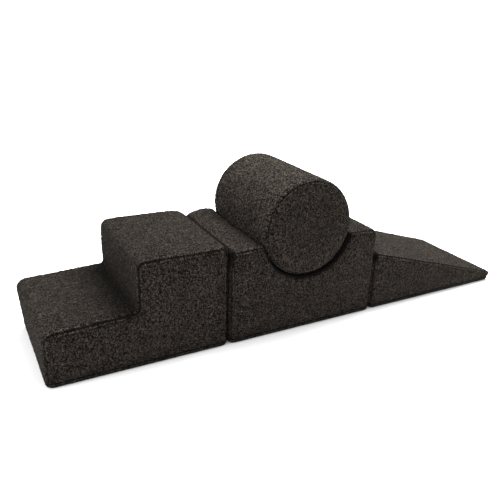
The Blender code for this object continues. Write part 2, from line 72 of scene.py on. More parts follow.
# Ramp
RAMP_HEIGHT = 0.198
TOE_HEIGHT = 0.032
RAMP_TOP_RADIUS = 0.017
RAMP_RIM = 0.015
TOE_RADIUS = 0.014
TOE_RIM = 0.009

# Feet of all blocks
FOOT_RADIUS = 0.010
FOOT_TUCK = 0.008
FOOT_RIM = 0.018
TUCK_TURNS = (8, 20, 34, 48, 64, 90)
TUCK_CORNER_LOSS = 0.8

# Roller
ROLLER_RIM = 0.018
ROLLER_ZIP_ANGLE = math.radians(30)

# Skin
PITCH = 0.0023
RIM_ROWS = 7
LIP_ROWS = 7
SEAM_BEHIND = 0.0030
SEAM_DEPTH = 0.0028
SEAM_HALF_WIDTH = 0.0026
GROOVE_SHARPNESS = 1.5
RIDGE_REACH = 0.0052
RIDGE_WIDTH = 0.0022
RIDGE = 0.30
CREASE_FLATTENS = 0.75
# Along the bottom edge of a front or back cover, on the base seam: little pile, free room, full
# painted shade
TAIL_TRAITS = (0.2, 1.0, 1.0)
FILL_ROW = 0.866
FILL_CLEAR = 0.62
FILL_MERGE = 1e-7

# How a seam wanders, in waves as (rate, share), and how hard its stitches pull
SEAM_WAVE = 0.0018
SEAM_WAVE_LENGTH = 0.030
SEAM_WAVE_REACH = 0.012
SEAM_WAVES = ((1.0, 1.0), (2.7, 0.5), (6.1, 0.3))
PULL = Drift(mean=0.90, spread=0.6, length=0.016, seed=7)
PULL_LEAST = 0.5
ROLLER_SEAM_SHARE = 0.22
END_SEAM_SHARE = 0.2
END_SEAM_TOP = 0.150
END_SEAM_FADE = 0.030

# The second crease, beside a seam
LIP_CREASE_DEPTH = 0.0010
LIP_CREASE_WIDTH = 0.0016
LIP_SHARE = Drift(mean=0.7, spread=1.8, length=0.036, seed=3)
LIP_MOST = 1.2
LIP_REACH = Drift(mean=0.0078, spread=0.002, length=0.030, seed=5)

# Pile, and its room to stand: none where a piece is pressed
PRESSED = 0.0
FREE = 1.0
CURL_SIZE = 0.0044
PILE_INPUTS = {
    "Pile depth": 0.0040,
    "Clump size": 0.0072,
    "Curl size": CURL_SIZE,
    "Softness": 0.0012,
    "Sway": 0.0011,
}
# Folds between the curls: their size, and how much painted shade darkens them; on the roller
# bigger and more darkly painted
FOLD_SIZE = 0.0047
FOLD_PAINTED_SHADE = 0.95
ROLLER_FOLD_SIZE = 0.0056
ROLLER_FOLD_PAINTED_SHADE = 1.40
FOLD_SHARE = 0.15
SOFT_SIZE = 0.090
PILE_STIR_SIZE = 0.012
PILE_STIR_REACH = 0.0030
CLUMP_SMOOTHNESS = 0.25
CLUMP_FALL = 1.15
CURL_FALL = 1.1
CLUMP_SHARE = 0.55
FREE_LEVEL = 0.55
FOLD_STIR = 0.5

# How far a cover draws in at a block's corners, and how far round
RISER_DRAW = 0.0025
BACK_DRAW = 0.0060
DRAW_REACH = 0.036
SHIFT_END = 3.0

# Where the stuffing sits unevenly: how far the cover stands off its shape, and how far round
LOW_END_SWELL = (-0.0095, 0.0, 0.001)
LOW_END_DROP = 0.012
LOW_END_REACH = 0.075
SHOULDER_SWELL = (0.0, 0.0, 0.012)
SHOULDER_SWELL_IN = 0.065
SHOULDER_SWELL_REACH = 0.050

# Foam cores
CORE_WEAR = 0.003
CORE_WEAR_STEPS = 2
CORE_MERGE = 0.00001
CORE_FLAT = 0.01

# Painted shade, darkening the fleece's colour where pieces press together and in the steps' inner
# corner
SHADE_START = 0.13
SHADE_SPAN = 0.14
SHADE_REACH = 0.012
RECESS_SHADE = 0.85
CORNER_SHADE = 0.34
CORNER_REACH = 0.100

# Base tray. Its cloth's rings are (inset, height)
BAND_PITCH = 0.0012
BAND_ROWS = 4
RING_STEPS = 4
TRAY_ROOM = 0.3
TRAY_WELL_CORNER = 0.004
TRAY_CLOTH_CORNER = 0.010
TRAY_CLOTH_RINGS = ((0.014, 0.0), (0.0152, 0.0008), (0.0164, 0.0))
TRAY_CLOTH_EDGE = 0.0162

# Zips
TAPE_WIDTH = 0.014
TAPE_THICKNESS = 0.0008
TAPE_SPLIT = 0.0010
TAPE_TAIL = 0.022
TAPE_EDGE = 0.0004
TAPE_EDGE_RISE = 0.6
CORD_RISE = 1.3
CORD_OUTSIDE = 0.0002
CORD_INSIDE = 0.0003
CHAIN_WIDTH = 0.0046
CHAIN_HEIGHT = 0.0020
TOOTH_PITCH = 0.0016
TOOTH_LENGTH = 0.0007
TOOTH_REACH = 0.0009
TOOTH_SEAT = 0.9
TOOTH_BELOW = 0.0002
TOOTH_SLOPE = 0.0008
STOP_LENGTH = 0.003
STOP_WIDTH = 0.0062
STOP_HEIGHT = 0.0025
STOP_FOOT = 0.0004
STOP_SOFTNESS = 0.0005
STITCH_LINE = 0.0052
STITCH_PITCH = 0.0036
STITCH_LENGTH = 0.0032
STITCH_ENDS = 0.004
STITCH_STATIONS = ((-0.5, 0.3), (-0.35, 0.9), (0, 1.15), (0.35, 0.9), (0.5, 0.3))
STITCH_SUNK = 0.9
THREAD = 0.00028
THREAD_SIDES = 6

# Studio
FLOOR_HALF = 60.0
FLOOR_COLOUR = (0.93, 0.93, 0.935)
SKY_STRENGTH = 1.12

# Softboxes, as (place, size, energy)
SOFTBOXES = {
    "overhead_softbox": ((1.3, 1.1, 3.6), 2.4, 470.0),
    "left_softbox": ((-2.8, -0.6, 1.6), 1.6, 52.0),
}

# Colours in linear light, from dark to light, as (position, colour)
# The fleece's ramp: its darkest stop takes the painted shade, its lightest the painted highlight
# on curl tips, with the fleece's own mottling between
FLEECE_COLOURS = (
    (0.12, (0.0012, 0.0010, 0.0008)),
    (0.50, (0.0205, 0.0168, 0.0134)),
    (1.00, (0.062, 0.052, 0.0435)),
)
TWILL_COLOURS = ((0.2, (0.008, 0.0075, 0.007)), (0.8, (0.030, 0.028, 0.025)))
FOAM_COLOURS = (
    (0.1, (0.32, 0.29, 0.20)),
    (0.45, (0.62, 0.58, 0.46)),
    (1.0, (0.74, 0.71, 0.60)),
)
TAPE_COLOURS = ((0.2, (0.005, 0.0048, 0.0045)), (0.85, (0.024, 0.022, 0.020)))
THREAD_COLOURS = ((0.3, (0.012, 0.011, 0.010)), (0.8, (0.050, 0.046, 0.042)))
TEETH_COLOURS = ((0.3, (0.010, 0.0095, 0.009)), (0.8, (0.032, 0.030, 0.028)))
ZINC_COLOURS = ((0.3, (0.075, 0.072, 0.070)), (0.75, (0.17, 0.165, 0.16)))

# Sizes of the materials' patterns, in metres, and of their weaves, in waves per metre
LOOP_SIZE = 0.0030
LOOP_STIR_SIZE = 0.004
LOOP_STIR_REACH = 0.0012
FIBRE_SIZE = 0.0011
MOTTLE_SIZE = 0.0026
PATCH_SIZE = 0.050
WEAR_SIZE = 0.030
PORE_SIZE = 0.0013
YELLOWING_SIZE = 0.120
FUZZ_SIZE = 0.0016
TWIST_SIZE = 0.0006
RUB_SIZE = 0.004
SCUFF_SIZE = 0.0009
CLOUD_SIZE = 0.005
TWILL_SCALE = 260.0
TAPE_SCALE = 420.0

# How much each pattern lightens or darkens its material
# Painted highlight on the curls' tips
TUFT_PAINTED_HIGHLIGHT = 0.55
LOOP_LIGHT = 0.25
MOTTLE_LIGHT = 1.5
PATCH_LIGHT = 0.10
FIBRE_LIGHT = 0.18
# Painted shade in seam creases, at joints, in the recess and in the steps' inner corner
CREASE_PAINTED_SHADE = 1.1
FOLD_MEAN = 0.30
TWILL_SHARE = 0.55
PORE_LIGHT = 0.7
YELLOWING_LIGHT = 0.5
TAPE_RIB_SHARE = 0.6
SCUFF_SHARE = 0.6

# How much the fleece's patterns rise, and each material's relief as (distance, strength)
LOOP_RISE = 0.7
FIBRE_RISE = 0.35
MOTTLE_RISE = 1.2
FOLD_SINK = 1.6
FLEECE_RELIEF = (0.0016, 0.9)
TWILL_RELIEF = (0.0002, 0.8)
FOAM_RELIEF = (0.0006, 0.7)
TAPE_RELIEF = (0.00025, 0.9)
THREAD_RELIEF = (0.0001, 0.8)
SCUFF_RELIEF = (0.00005, 0.4)

# Roughness of the zips' teeth and metal: the least, and how much their patterns add
TEETH_ROUGHNESS = 0.34
RUB_ROUGHNESS = 0.2
ZINC_ROUGHNESS = 0.26
CLOUD_ROUGHNESS = 0.22

# Camera, as the photograph was taken
CAMERA_PLACE = (-0.8784, -1.4608, 0.8743)
CAMERA_TURN = (math.radians(68.442), math.radians(-2.452), math.radians(-29.531))
CAMERA_LENS = 42.004
CAMERA_SENSOR = 36
CAMERA_SHIFT = (-0.0456, -0.0118)


# Node trees


def arithmetic(operation, other_first=False):
    """A method of Wire that adds this Math node."""

    def method(wire, other):
        values = (other, wire) if other_first else (wire, other)
        return wire.maker.math(operation, *values)

    return method


class Wire:
    """A node's output. Arithmetic on wires adds Math nodes."""

    def __init__(self, maker, socket):
        self.maker = maker
        self.socket = socket

    __add__ = arithmetic("ADD")
    __radd__ = arithmetic("ADD", True)
    __sub__ = arithmetic("SUBTRACT")
    __rsub__ = arithmetic("SUBTRACT", True)
    __mul__ = arithmetic("MULTIPLY")
    __rmul__ = arithmetic("MULTIPLY", True)
    __truediv__ = arithmetic("DIVIDE")
    __rtruediv__ = arithmetic("DIVIDE", True)


class Outputs:
    """A node's outputs, by name."""

    def __init__(self, maker, node):
        self.maker = maker
        self.node = node

    def __getitem__(self, name):
        return Wire(self.maker, self.node.outputs[name])


class Nodes:
    """Adds nodes to one tree."""

    def __init__(self, tree):
        self.tree = tree

    def add(self, kind, inputs=None, stops=(), **settings):
        """A node with its settings and colour stops, then the values or wires of its sockets."""
        node = self.tree.nodes.new(kind)
        for name, value in settings.items():
            setattr(node, name, value)
        for number, (position, colour) in enumerate(stops):
            elements = node.color_ramp.elements
            element = elements[number] if number < len(elements) else elements.new(1.0)
            element.position = position
            element.color = (*colour, 1.0)
        for name, value in (inputs or {}).items():
            if isinstance(value, Wire):
                self.tree.links.new(value.socket, node.inputs[name])
            else:
                node.inputs[name].default_value = value
        return Outputs(self, node)

    def math(self, operation, *values):
        return self.add("ShaderNodeMath", dict(enumerate(values)), operation=operation)["Value"]

    def vector(self, operation, inputs):
        return self.add("ShaderNodeVectorMath", inputs, operation=operation)["Vector"]


def noise_of(maker, place, size, detail):
    inputs = {"Vector": place, "Scale": 1 / size, "Detail": detail}
    return maker.add("ShaderNodeTexNoise", inputs)


def stir(maker, place, size, reach):
    """A shift of up to about this reach, any way, from noise of this size."""
    colour = noise_of(maker, place, size, detail=1.0)["Color"]
    centred = maker.vector("SUBTRACT", {0: colour, 1: (0.5, 0.5, 0.5)})
    return maker.vector("SCALE", {0: centred, "Scale": 2 * reach})


def wander(maker, place, size, reach):
    return maker.vector("ADD", {0: place, 1: stir(maker, place, size, reach)})


def cells(maker, place, size):
    """Distance from the nearest of a scatter of points this far apart, in shares of that size."""
    inputs = {"Vector": place, "Scale": 1 / size}
    return maker.add("ShaderNodeTexVoronoi", inputs)["Distance"]


def hills(maker, place, size, detail=2.0):
    return noise_of(maker, place, size, detail)["Fac"]


def ribs(maker, place, scale):
    """The slanting ribs of a weave."""
    settings = {"wave_type": "BANDS", "bands_direction": "DIAGONAL"}
    inputs = {"Vector": place, "Scale": scale}
    return maker.add("ShaderNodeTexWave", inputs, **settings)["Fac"]


def between_curls(maker, place, size):
    """One in the winding folds between curls this big, and nought on the curls."""
    stirred = wander(maker, place, size, size * FOLD_STIR)
    from_middle = hills(maker, stirred, size, detail=0.0) - 0.5
    depth = 1 - maker.math("ABSOLUTE", from_middle) / FOLD_SHARE
    return maker.math("MAXIMUM", depth, 0.0)


# Materials


def new_material(name, **constants):
    """A material, its node maker and its shader, with constants on the shader's own sockets."""
    material = bpy.data.materials.new(name)
    material.use_nodes = True
    shader = material.node_tree.nodes["Principled BSDF"]
    for socket, value in constants.items():
        shader.inputs[socket.replace("_", " ")].default_value = value
    return material, Nodes(material.node_tree), shader


def feed(maker, shader, socket, wire):
    maker.tree.links.new(wire.socket, shader.inputs[socket])


def tint(maker, shader, factor, stops):
    """Colours the shader by this factor, through (position, colour) stops."""
    ramp = maker.add("ShaderNodeValToRGB", {"Fac": factor}, stops)
    feed(maker, shader, "Base Color", ramp["Color"])


def bump(maker, shader, height, relief):
    distance, strength = relief
    inputs = {"Height": height, "Distance": distance, "Strength": strength}
    feed(maker, shader, "Normal", maker.add("ShaderNodeBump", inputs)["Normal"])


def object_place(maker):
    return maker.add("ShaderNodeTexCoord")["Object"]


def kept_trait(maker, name):
    return maker.add("ShaderNodeAttribute", attribute_name=name)["Fac"]


def fleece_material(name, fold_size, fold_painted_shade):
    """Curly fleece: painted shade between the curls, a painted highlight at their tips, with yarn
    loops on each curl.
    """
    material, maker, shader = new_material(
        name,
        Roughness=1.0,
        Sheen_Weight=0.03,
        Sheen_Roughness=0.5,
        Sheen_Tint=(1.0, 0.90, 0.80, 1.0),
        Specular_IOR_Level=0.03,
    )
    place = object_place(maker)
    tuft, crease_and_painted_shade = kept_trait(maker, "tuft"), kept_trait(maker, "crease_and_painted_shade")
    loops = 1 - cells(maker, wander(maker, place, LOOP_STIR_SIZE, LOOP_STIR_REACH), LOOP_SIZE)
    fibres = hills(maker, place, FIBRE_SIZE)
    mottle = hills(maker, place, MOTTLE_SIZE)
    patches = hills(maker, place, PATCH_SIZE)
    folds = between_curls(maker, place, fold_size)
    # Painted highlight on the tips of the curls
    light = tuft * TUFT_PAINTED_HIGHLIGHT + loops * LOOP_LIGHT
    light = light + (mottle - 0.5) * MOTTLE_LIGHT + (patches - 0.5) * PATCH_LIGHT
    # Painted shade in seam creases, at joints, in the recess and in the steps' inner corner
    light = light + (fibres - 0.5) * FIBRE_LIGHT - crease_and_painted_shade * CREASE_PAINTED_SHADE
    # Painted shade in the folds between curls
    light = light - (folds - FOLD_MEAN) * fold_painted_shade
    tint(maker, shader, light, FLEECE_COLOURS)
    height = loops * LOOP_RISE + fibres * FIBRE_RISE + mottle * MOTTLE_RISE - folds * FOLD_SINK
    bump(maker, shader, height, FLEECE_RELIEF)
    return material


def base_cloth_material():
    """The plain hard-wearing cloth of the underside: a fine twill."""
    material, maker, shader = new_material("base_twill", Roughness=0.88, Specular_IOR_Level=0.25)
    place = object_place(maker)
    twill = ribs(maker, place, TWILL_SCALE)
    light = twill * TWILL_SHARE + hills(maker, place, WEAR_SIZE) * (1 - TWILL_SHARE)
    tint(maker, shader, light, TWILL_COLOURS)
    bump(maker, shader, twill, TWILL_RELIEF)
    return material


def foam_material():
    """Open cells of cut upholstery foam."""
    material, maker, shader = new_material(
        "upholstery_foam", Roughness=0.92, Specular_IOR_Level=0.2
    )
    place = object_place(maker)
    pores = cells(maker, place, PORE_SIZE)
    light = pores * PORE_LIGHT + hills(maker, place, YELLOWING_SIZE) * YELLOWING_LIGHT
    tint(maker, shader, light, FOAM_COLOURS)
    bump(maker, shader, pores, FOAM_RELIEF)
    return material


def tape_material():
    """Herringbone zip tape."""
    material, maker, shader = new_material(
        "zip_tape_weave", Roughness=0.82, Specular_IOR_Level=0.25
    )
    place = object_place(maker)
    light = ribs(maker, place, TAPE_SCALE) * TAPE_RIB_SHARE
    light = light + hills(maker, place, FUZZ_SIZE) * (1 - TAPE_RIB_SHARE)
    tint(maker, shader, light, TAPE_COLOURS)
    bump(maker, shader, light, TAPE_RELIEF)
    return material


def thread_material():
    """Twisted sewing thread."""
    material, maker, shader = new_material("sewing_thread", Roughness=0.7, Specular_IOR_Level=0.3)
    twist = hills(maker, object_place(maker), TWIST_SIZE)
    tint(maker, shader, twist, THREAD_COLOURS)
    bump(maker, shader, twist, THREAD_RELIEF)
    return material


def teeth_material():
    """Nylon zip teeth, rubbed a little paler where the slider runs."""
    material, maker, shader = new_material("nylon_teeth", Roughness=0.42, Specular_IOR_Level=0.5)
    rub = hills(maker, object_place(maker), RUB_SIZE)
    tint(maker, shader, rub, TEETH_COLOURS)
    feed(maker, shader, "Roughness", TEETH_ROUGHNESS + rub * RUB_ROUGHNESS)
    return material


def zip_metal_material():
    """Dark plated zinc with fine scuffs."""
    material, maker, shader = new_material("plated_zinc", Roughness=0.34, Metallic=1.0)
    place = object_place(maker)
    scuffs = hills(maker, place, SCUFF_SIZE, detail=4.0)
    cloud = hills(maker, place, CLOUD_SIZE)
    light = scuffs * SCUFF_SHARE + cloud * (1 - SCUFF_SHARE)
    tint(maker, shader, light, ZINC_COLOURS)
    feed(maker, shader, "Roughness", ZINC_ROUGHNESS + cloud * CLOUD_ROUGHNESS)
    bump(maker, shader, scuffs, SCUFF_RELIEF)
    return material


# Geometry trees


def new_tree(name, inputs):
    """A tree that takes a geometry, these inputs (name to kind) and a material, with its maker."""
    tree = bpy.data.node_groups.new(name, "GeometryNodeTree")
    for socket, kind in {"Geometry": "Geometry", **inputs, "Material": "Material"}.items():
        tree.interface.new_socket(socket, in_out="INPUT", socket_type="NodeSocket" + kind)
    tree.interface.new_socket("Geometry", in_out="OUTPUT", socket_type="NodeSocketGeometry")
    maker = Nodes(tree)
    return tree, maker, maker.add("NodeGroupInput")


def finish_tree(maker, geometry, material):
    """Makes all copies real, gives them their material and ends the tree."""
    real = maker.add("GeometryNodeRealizeInstances", {"Geometry": geometry})["Geometry"]
    inputs = {"Geometry": real, "Material": material}
    dressed = maker.add("GeometryNodeSetMaterial", inputs)["Geometry"]
    maker.add("NodeGroupOutput", {"Geometry": dressed})


def pile_tree():
    """Raises curls on a skin: clumps with smaller curls on them, pushed about sideways."""
    tree, maker, given = new_tree("boucle_pile", dict.fromkeys(PILE_INPUTS, "Float"))
    place = maker.add("GeometryNodeInputPosition")["Position"]
    normal = maker.add("GeometryNodeInputNormal")["Normal"]

    def trait(name):
        return maker.add("GeometryNodeInputNamedAttribute", {"Name": name})["Attribute"]

    pile, room = trait("pile"), trait("room")
    stirred = wander(maker, place, PILE_STIR_SIZE, PILE_STIR_REACH)
    scale = 1 / given["Clump size"]
    inputs = {"Vector": stirred, "Scale": scale, "Smoothness": CLUMP_SMOOTHNESS}
    clump = maker.add("ShaderNodeTexVoronoi", inputs, feature="SMOOTH_F1")["Distance"]
    curl = cells(maker, stirred, given["Curl size"])
    tuft = (1 - clump * CLUMP_FALL) * CLUMP_SHARE + (1 - curl * CURL_FALL) * (1 - CLUMP_SHARE)
    soft = hills(maker, place, SOFT_SIZE) - 0.5
    level = 1 - room * FREE_LEVEL
    lift = pile * (given["Pile depth"] * (tuft - level) + room * 2 * given["Softness"] * soft)
    inputs = {"Geometry": given["Geometry"], "Name": "tuft", "Value": tuft * pile}
    settings = {"data_type": "FLOAT", "domain": "POINT"}
    kept = maker.add("GeometryNodeStoreNamedAttribute", inputs, **settings)["Geometry"]
    sway = stir(maker, place, CURL_SIZE, given["Sway"] * pile * room)
    raised = maker.vector("SCALE", {0: normal, "Scale": lift})
    inputs = {"Geometry": kept, "Offset": maker.vector("ADD", {0: raised, 1: sway})}
    moved = maker.add("GeometryNodeSetPosition", inputs)["Geometry"]
    smooth = maker.add("GeometryNodeSetShadeSmooth", {0: moved})["Geometry"]
    finish_tree(maker, smooth, given["Material"])
    return tree


def new_object(name, data):
    """A new object in the scene."""
    piece = bpy.data.objects.new(name, data)
    bpy.context.scene.collection.objects.link(piece)
    return piece


def mesh_of(name, bm):
    mesh = bpy.data.meshes.new(name)
    bm.to_mesh(mesh)
    bm.free()
    return mesh


def grown(name, mesh, tree, values, cutter=None):
    """The object that a Geometry Nodes tree makes of a mesh, as a plain mesh."""
    skin = new_object(name + "_skin", mesh)
    if cutter:
        cut = skin.modifiers.new("slot", "BOOLEAN")
        cut.operation = "DIFFERENCE"
        cut.solver = "EXACT"
        cut.object = cutter
    growth = skin.modifiers.new("growth", "NODES")
    growth.node_group = tree
    for item in tree.interface.items_tree:
        if item.item_type == "SOCKET" and item.in_out == "INPUT" and item.name in values:
            growth[item.identifier] = values[item.name]
    shown = skin.evaluated_get(bpy.context.evaluated_depsgraph_get())
    result = bpy.data.meshes.new_from_object(shown)
    bpy.data.objects.remove(skin, do_unlink=True)
    if cutter:
        bpy.data.objects.remove(cutter, do_unlink=True)
    result.name = name
    return new_object(name, result)


# Outlines, walked up the left end, over the top and down the right end


def count_of(length):
    return max(1, round(length / PITCH))


def run(start, end, rims, crown, room):
    """Spots along a straight run, both ends left out."""
    start, end = Vector(start), Vector(end)
    way = (end - start).normalized()
    count = count_of((end - start).length)
    spots = []
    for step in range(1, count):
        share = step / count
        place = start.lerp(end, share)
        rim = rims[0] + (rims[1] - rims[0]) * share
        bulge = 4 * share * (1 - share) * crown
        spots.append(Spot(place.x, place.y, -way.y, way.x, rim, bulge, room))
    return spots


def arc(centre, radius, first, last, rim, rooms, hollow=False):
    """Spots round an arc between two angles. A hollow arc's outside is towards its centre."""
    count = count_of(radius * abs(last - first))
    side = -1 if hollow else 1
    spots = []
    for step in range(count + 1):
        share = step / count
        angle = first + (last - first) * share
        across, up = math.cos(angle), math.sin(angle)
        room = rooms[0] + (rooms[1] - rooms[0]) * share
        x, z = centre[0] + radius * across, centre[1] + radius * up
        spots.append(Spot(x, z, side * across, side * up, rim, 0, room))
    return spots


def bend(before, corner, after, radius, rim, rooms=(FREE, FREE)):
    """Spots that round the corner between two straight runs."""
    tip = Vector(corner)
    back = (Vector(before) - tip).normalized()
    ahead = (Vector(after) - tip).normalized()
    half = back.angle(ahead) / 2
    centre = tip + (back + ahead).normalized() * radius / math.sin(half)
    start = tip + back * radius / math.tan(half) - centre
    turn = math.pi - 2 * half
    hollow = ahead.cross(back) > 0
    first = math.atan2(start.y, start.x)
    last = first + (turn if hollow else -turn)
    return arc(centre, radius, first, last, rim, rooms, hollow)


def joined(start, bends, end, crowns, rooms):
    """A whole outline: its start on the base seam, its bends with runs between them, its end."""
    spots = [Spot(*start, -1, 0, FOOT_RIM, 0, rooms[0])]
    for number, part in enumerate([*bends, None]):
        last = spots[-1]
        aim = end if part is None else (part[0].x, part[0].z)
        rim = FOOT_RIM if part is None else part[0].rim
        spots += run((last.x, last.z), aim, (last.rim, rim), crowns[number], rooms[number])
        spots += part or [Spot(*end, 1, 0, FOOT_RIM, 0, rooms[-1])]
    return shaded(spots)


def shaded(spots):
    """Paints shade on the spots where a piece starts to press another, less and less further in.
    """
    free = [number for number, spot in enumerate(spots) if spot.room > 0]
    result = []
    for number, spot in enumerate(spots):
        away = min(abs(number - other) for other in free) * PITCH
        shade = min(1.0, max(0.0, (1 - spot.room - SHADE_START) / SHADE_SPAN))
        result.append(spot._replace(shade=shade * math.exp(-away / SHADE_REACH)))
    return result


def corner_shaded(spots, corner):
    """Paints shade into an inner corner, where less light reaches."""
    result = []
    for spot in spots:
        away = (Vector((spot.x, spot.z)) - Vector(corner)).length
        shade = CORNER_SHADE * math.exp(-away / CORNER_REACH)
        result.append(spot._replace(shade=max(spot.shade, shade)))
    return result


class Block:
    """A block's place and size, read from its foam core, which its cover fits all round."""

    def __init__(self, name):
        self.name = name
        low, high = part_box(name + "_foam_core")
        edge = COVER + SEWN_GAP
        self.left, self.right = low.x - edge, high.x + edge
        self.height = high.z + edge
        self.middle = (low.y + high.y) / 2
        self.half_depth = (high.y - low.y) / 2 + edge
        self.base = BASE_SEAM + SEWN_GAP / 2


def uneven(block, x, z, shift, reach):
    """A place at the back of a block's cover, its shift off the even shape and how far round."""
    return Vector((x, block.middle + block.half_depth, z)), Vector(shift), reach


def soft_corner(block, x, z, way, depth):
    """A back corner where the cover draws in."""
    return uneven(block, x, z, Vector((way, -1, -1)).normalized() * depth, DRAW_REACH)


def settled(point, places):
    """A point, shifted by the uneven places near it."""
    total = Vector()
    for place, shift, reach in places:
        away = (point - place).length / reach
        if away < SHIFT_END:
            total += shift * math.exp(-(away**2))
    return point + total


def steps_uneven(block):
    left, right, top = block.left, block.right, block.height
    riser = right - HIGH_TREAD_LENGTH
    return [
        soft_corner(block, riser, top, 1, RISER_DRAW),
        soft_corner(block, right, top, -1, BACK_DRAW),
        uneven(block, left, LOW_STEP_HEIGHT - LOW_END_DROP, LOW_END_SWELL, LOW_END_REACH),
    ]


def cradle_uneven(block):
    left, right, top = block.left, block.right, block.height
    swell = left + SHOULDER_SWELL_IN
    return [
        soft_corner(block, left, top, 1, BACK_DRAW),
        soft_corner(block, right, top, -1, BACK_DRAW),
        uneven(block, swell, top, SHOULDER_SWELL, SHOULDER_SWELL_REACH),
    ]


def ramp_uneven(block):
    return [soft_corner(block, block.left, RAMP_HEIGHT, 1, BACK_DRAW)]


def steps_outline(block):
    left, right, top = block.left, block.right, block.height
    riser = right - HIGH_TREAD_LENGTH
    low_nose, foot = (left, LOW_STEP_HEIGHT), (riser, LOW_STEP_HEIGHT + LOW_TREAD_CLIMB)
    high_nose, back = (riser, top), (right, top)
    start, end = (left, block.base), (right, block.base)
    bends = [
        bend(start, low_nose, foot, NOSE_RADIUS, STEPS_RIM),
        bend(low_nose, foot, high_nose, RISER_FOOT_RADIUS, STEPS_RIM),
        bend(foot, high_nose, back, HIGH_NOSE_RADIUS, STEPS_RIM),
        bend(high_nose, back, end, STEPS_BACK_RADIUS, STEPS_RIM, (FREE, PRESSED)),
    ]
    crowns = (END_CROWN, CROWN, END_CROWN, CROWN, 0)
    rooms = (FREE, FREE, FREE, FREE, PRESSED)
    return corner_shaded(joined(start, bends, end, crowns, rooms), foot)


def ramp_outline(block):
    left, right = block.left, block.right
    start, end = (left, block.base), (right, block.base)
    crest, toe = (left, RAMP_HEIGHT), (right, TOE_HEIGHT)
    bends = [
        bend(start, crest, toe, RAMP_TOP_RADIUS, RAMP_RIM, (PRESSED, FREE)),
        bend(crest, toe, end, TOE_RADIUS, TOE_RIM),
    ]
    return joined(start, bends, end, (0, CROWN, 0), (PRESSED, FREE, FREE))


def recess_lip(radius, centre_height, top):
    """The middle of the fillet between the recess and the shoulder, and its angle from level."""
    fillet_height = top - LIP_RADIUS
    across = math.sqrt((radius + LIP_RADIUS) ** 2 - (fillet_height - centre_height) ** 2)
    return (across, fillet_height), math.atan2(fillet_height - centre_height, across)


def cradle_outline(block, roller_radius):
    left, right, top = block.left, block.right, block.height
    radius = roller_radius + SEAT_PLAY
    height = top - RECESS_DEPTH + radius
    (across, lip), angle = recess_lip(radius, height, top)
    start, end = (left, block.base), (right, block.base)
    upright, half_turn = math.pi / 2, math.pi
    rising, falling = (PRESSED, FREE), (FREE, PRESSED)
    first, last = half_turn - angle, 2 * half_turn + angle
    seat = arc((0, height), radius, first, last, RECESS_RIM, (PRESSED, PRESSED), True)
    left_lip = arc((-across, lip), LIP_RADIUS, upright, angle, RECESS_RIM, falling)
    right_lip = arc((across, lip), LIP_RADIUS, first, upright, RECESS_RIM, rising)
    bends = [
        bend(start, (left, top), (0, top), LEFT_SHOULDER_RADIUS, SHOULDER_RIM, rising),
        left_lip + seat[1:-1] + right_lip,
        bend((0, top), (right, top), end, RIGHT_SHOULDER_RADIUS, SHOULDER_RIM, falling),
    ]
    spots = joined(start, bends, end, (0, CROWN, CROWN, 0), (PRESSED, FREE, FREE, PRESSED))
    # Painted shade on the rim of the recess round the roller
    for number, spot in enumerate(spots):
        if spot.rim == RECESS_RIM and not spot.room:
            spots[number] = spot._replace(shade=RECESS_SHADE)
    return spots


# Skins


def rim_inset(spot, angle):
    """How far a rounded rim has drawn in at this angle, and how far behind the face it is."""
    return spot.rim * (1 - math.cos(angle)), spot.rim * (1 - math.sin(angle))


def drawn_in(rim, behind):
    """How far a rounded rim has drawn in, this far behind the face."""
    return rim - math.sqrt(rim**2 - max(0.0, rim - behind) ** 2)


def seam_angle(spot):
    """Where on the rim the seam between the wrap and the front or back cover lies."""
    behind = SEAM_BEHIND + SEWN_GAP / 2
    return math.asin(1 - behind / spot.rim)


def groove(distance):
    return SEAM_DEPTH * max(0.0, 1 - abs(distance) / SEAM_HALF_WIDTH) ** GROOVE_SHARPNESS


def ridge(distance):
    """How much fuller the pile stands beside a seam, this far from it. The colour there is painted
    lighter too, a painted highlight.
    """
    return RIDGE * math.exp(-(((distance - RIDGE_REACH) / RIDGE_WIDTH) ** 2))


def drifted(drift, x, z, side):
    """A value that drifts about its mean along a seam."""
    place = Vector((x, z, side * drift.seed)) / drift.length
    return drift.mean + drift.spread * noise.noise(place)


def unsteady(x, z, side):
    """How far the sewn seam wanders off its line here."""
    place = Vector((x, z, side)) / SEAM_WAVE_LENGTH
    return SEAM_WAVE * sum(share * noise.noise(place * rate) for rate, share in SEAM_WAVES)


def pulled(spot, side, closed):
    """How hard the stitches pull the seam in: less on the roller, low down and where pressed."""
    pull = min(1.0, max(PULL_LEAST, drifted(PULL, spot.x, spot.z, side)))
    if closed:
        return pull * ROLLER_SEAM_SHARE
    below = min(1.0, max(0.0, (END_SEAM_TOP - spot.z) / END_SEAM_FADE)) * abs(spot.out_x)
    slack = max(below, (1 - spot.room) * abs(spot.out_x))
    return pull * (1 - (1 - END_SEAM_SHARE) * slack)


